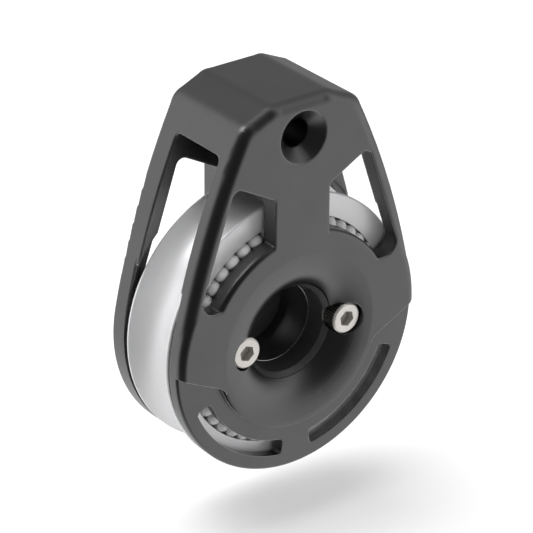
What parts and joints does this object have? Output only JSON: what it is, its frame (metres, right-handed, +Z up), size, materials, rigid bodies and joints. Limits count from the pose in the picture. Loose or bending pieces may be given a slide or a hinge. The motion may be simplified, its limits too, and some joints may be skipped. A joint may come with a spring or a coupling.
{
  "type": "cheek block",
  "caption": "Cheek block for rope with a dark anodised one-piece housing, a silver grooved sheave on rollers and side balls, and two cap screws.",
  "frame": {"origin": "the middle of the sheave's axis on the mounting face", "axes": "+X to the right, +Y out of the mounting face towards the deck, +Z up from the sheave to the head"},
  "size_m": [0.09, 0.036, 0.1244],
  "materials": {
    "anodised": "satin",
    "silver": "polished",
    "steel": "ground",
    "screw": "satin",
    "ball": "matt",
    "ring": "matt"
  },
  "bodies": {
    "frame": {"housing": "anodised", "hub": "steel", "screw_left": "screw", "screw_right": "screw", "roller_ring_front": "ring", "roller_ring_back": "ring"},
    "wheel": {"sheave": "silver", "bearing_sleeve": "steel"},
    "roller_set": {"roller_1": "ball", "roller_2": "ball", "roller_3": "ball", "roller_4": "ball", "roller_5": "ball", "roller_6": "ball", "roller_7": "ball", "roller_8": "ball", "roller_9": "ball", "roller_10": "ball", "roller_11": "ball", "roller_12": "ball", "roller_13": "ball", "roller_14": "ball", "roller_15": "ball", "roller_16": "ball", "roller_17": "ball", "roller_18": "ball", "roller_19": "ball", "roller_20": "ball", "roller_21": "ball", "roller_22": "ball", "roller_23": "ball", "roller_24": "ball", "roller_25": "ball", "roller_26": "ball", "roller_27": "ball", "roller_28": "ball", "roller_29": "ball", "roller_30": "ball", "roller_31": "ball", "roller_32": "ball", "roller_33": "ball", "roller_34": "ball", "roller_35": "ball"},
    "front_balls": {"side_balls_front": "ball"},
    "back_balls": {"side_balls_back": "ball"}
  },
  "joints": [
    {"name": "sheave_spin", "type": "hinge", "parent": "frame", "child": "wheel", "pos_m": [0, -0.0184, 0], "axis": [0, 1, 0], "continuous": true},
    {"name": "roller_spin", "type": "hinge", "parent": "frame", "child": "roller_set", "pos_m": [0, -0.0184, 0], "axis": [0, 1, 0], "continuous": true},
    {"name": "front_ball_spin", "type": "hinge", "parent": "frame", "child": "front_balls", "pos_m": [0, -0.0184, 0], "axis": [0, 1, 0], "continuous": true},
    {"name": "back_ball_spin", "type": "hinge", "parent": "frame", "child": "back_balls", "pos_m": [0, -0.0184, 0], "axis": [0, 1, 0], "continuous": true}
  ],
  "couplings": [
    {"joint": "roller_spin", "follows": "sheave_spin", "ratio": 0.5447},
    {"joint": "front_ball_spin", "follows": "sheave_spin", "ratio": 0.5},
    {"joint": "back_ball_spin", "follows": "sheave_spin", "ratio": 0.5}
  ]
}
